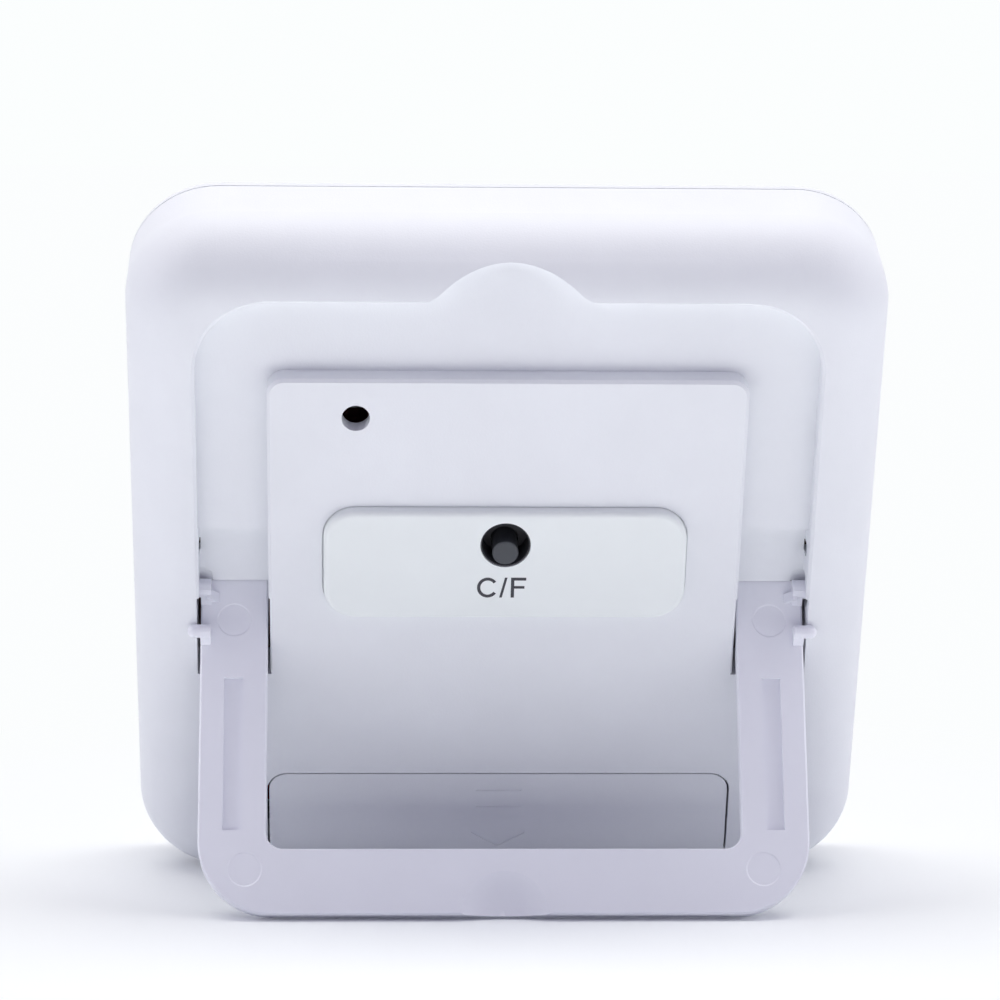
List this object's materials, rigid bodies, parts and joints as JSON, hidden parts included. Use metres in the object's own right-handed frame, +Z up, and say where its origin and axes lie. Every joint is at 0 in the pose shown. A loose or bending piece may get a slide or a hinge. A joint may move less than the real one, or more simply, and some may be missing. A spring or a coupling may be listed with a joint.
{
  "type": "temperature humidity sensor",
  "caption": "Square desk thermometer and hygrometer that leans on a fold-out U-shaped stand, with a magnet plate, set button, sensor vent and sliding battery door on its back.",
  "frame": {"origin": "on the floor plane, at the middle of the bounding box's base, with the stand open as in the picture", "axes": "+Z up, the display faces -Y, the back with the stand faces +Y, and +X is the picture's left"},
  "size_m": [0.086, 0.0454, 0.0831],
  "materials": {
    "shell_white": "fine matte texture",
    "bezel_white": "fine satin",
    "stand_white": "satin",
    "plate_white": "smooth satin",
    "magnet_grey": "nickel plated",
    "window_clear": "clear gloss",
    "tape_black": "matt adhesive film",
    "lcd_glass": "polarised glass",
    "reflector": "satin foil",
    "holder_white": "plain moulded",
    "strip_pink": "elastomer",
    "board_green": "solder mask",
    "screw_steel": "zinc plated",
    "epoxy_black": "cast epoxy",
    "crystal_can": "tinned can",
    "chip_brown": "ceramic",
    "sensor_grey": "moulded",
    "switch_black": "moulded",
    "contact_metal": "nickel plated",
    "cell_sleeve": "printed film over steel can",
    "lead_red": "insulated wire",
    "lead_black": "insulated wire"
  },
  "bodies": {
    "housing": {"back_shell": "shell_white", "front_shell": "bezel_white", "magnet_plate": "plate_white", "magnets": "magnet_grey", "display_window": "window_clear", "window_tape": "tape_black", "display_glass": "lcd_glass", "display_reflector": "reflector", "display_holder": "holder_white", "contact_strip": "strip_pink", "main_board": "board_green", "board_screws": "screw_steel", "controller_blob": "epoxy_black", "quartz_crystal": "crystal_can", "chip_parts": "chip_brown", "humidity_sensor": "sensor_grey", "switch_body": "switch_black", "switch_cover": "contact_metal", "switch_dome": "contact_metal", "switch_sleeve": "switch_black", "battery_cell": "cell_sleeve", "spring_contact": "contact_metal", "plate_contact": "contact_metal", "positive_lead": "lead_red", "negative_lead": "lead_black"},
    "stand": {"kickstand": "stand_white", "stop_peg_left": "stand_white", "stop_peg_right": "stand_white"},
    "door": {"battery_door": "shell_white"},
    "button": {"switch_plunger": "switch_black"}
  },
  "joints": [
    {"name": "stand_hinge", "type": "hinge", "parent": "housing", "child": "stand", "pos_m": [0, 0.00492, 0.03608], "axis": [1, 0, 0], "range_deg": [0, 134], "deforming": ["stop_peg_left", "stop_peg_right"]},
    {"name": "battery_door_slide", "type": "slide", "parent": "housing", "child": "door", "axis": [0, -0.3785, -0.9256], "range_m": [0, 0.005]},
    {"name": "button_press", "type": "slide", "parent": "housing", "child": "button", "axis": [0, -0.9256, 0.3785], "range_m": [0, 0.00025], "stiffness_N_per_m": 6000}
  ]
}
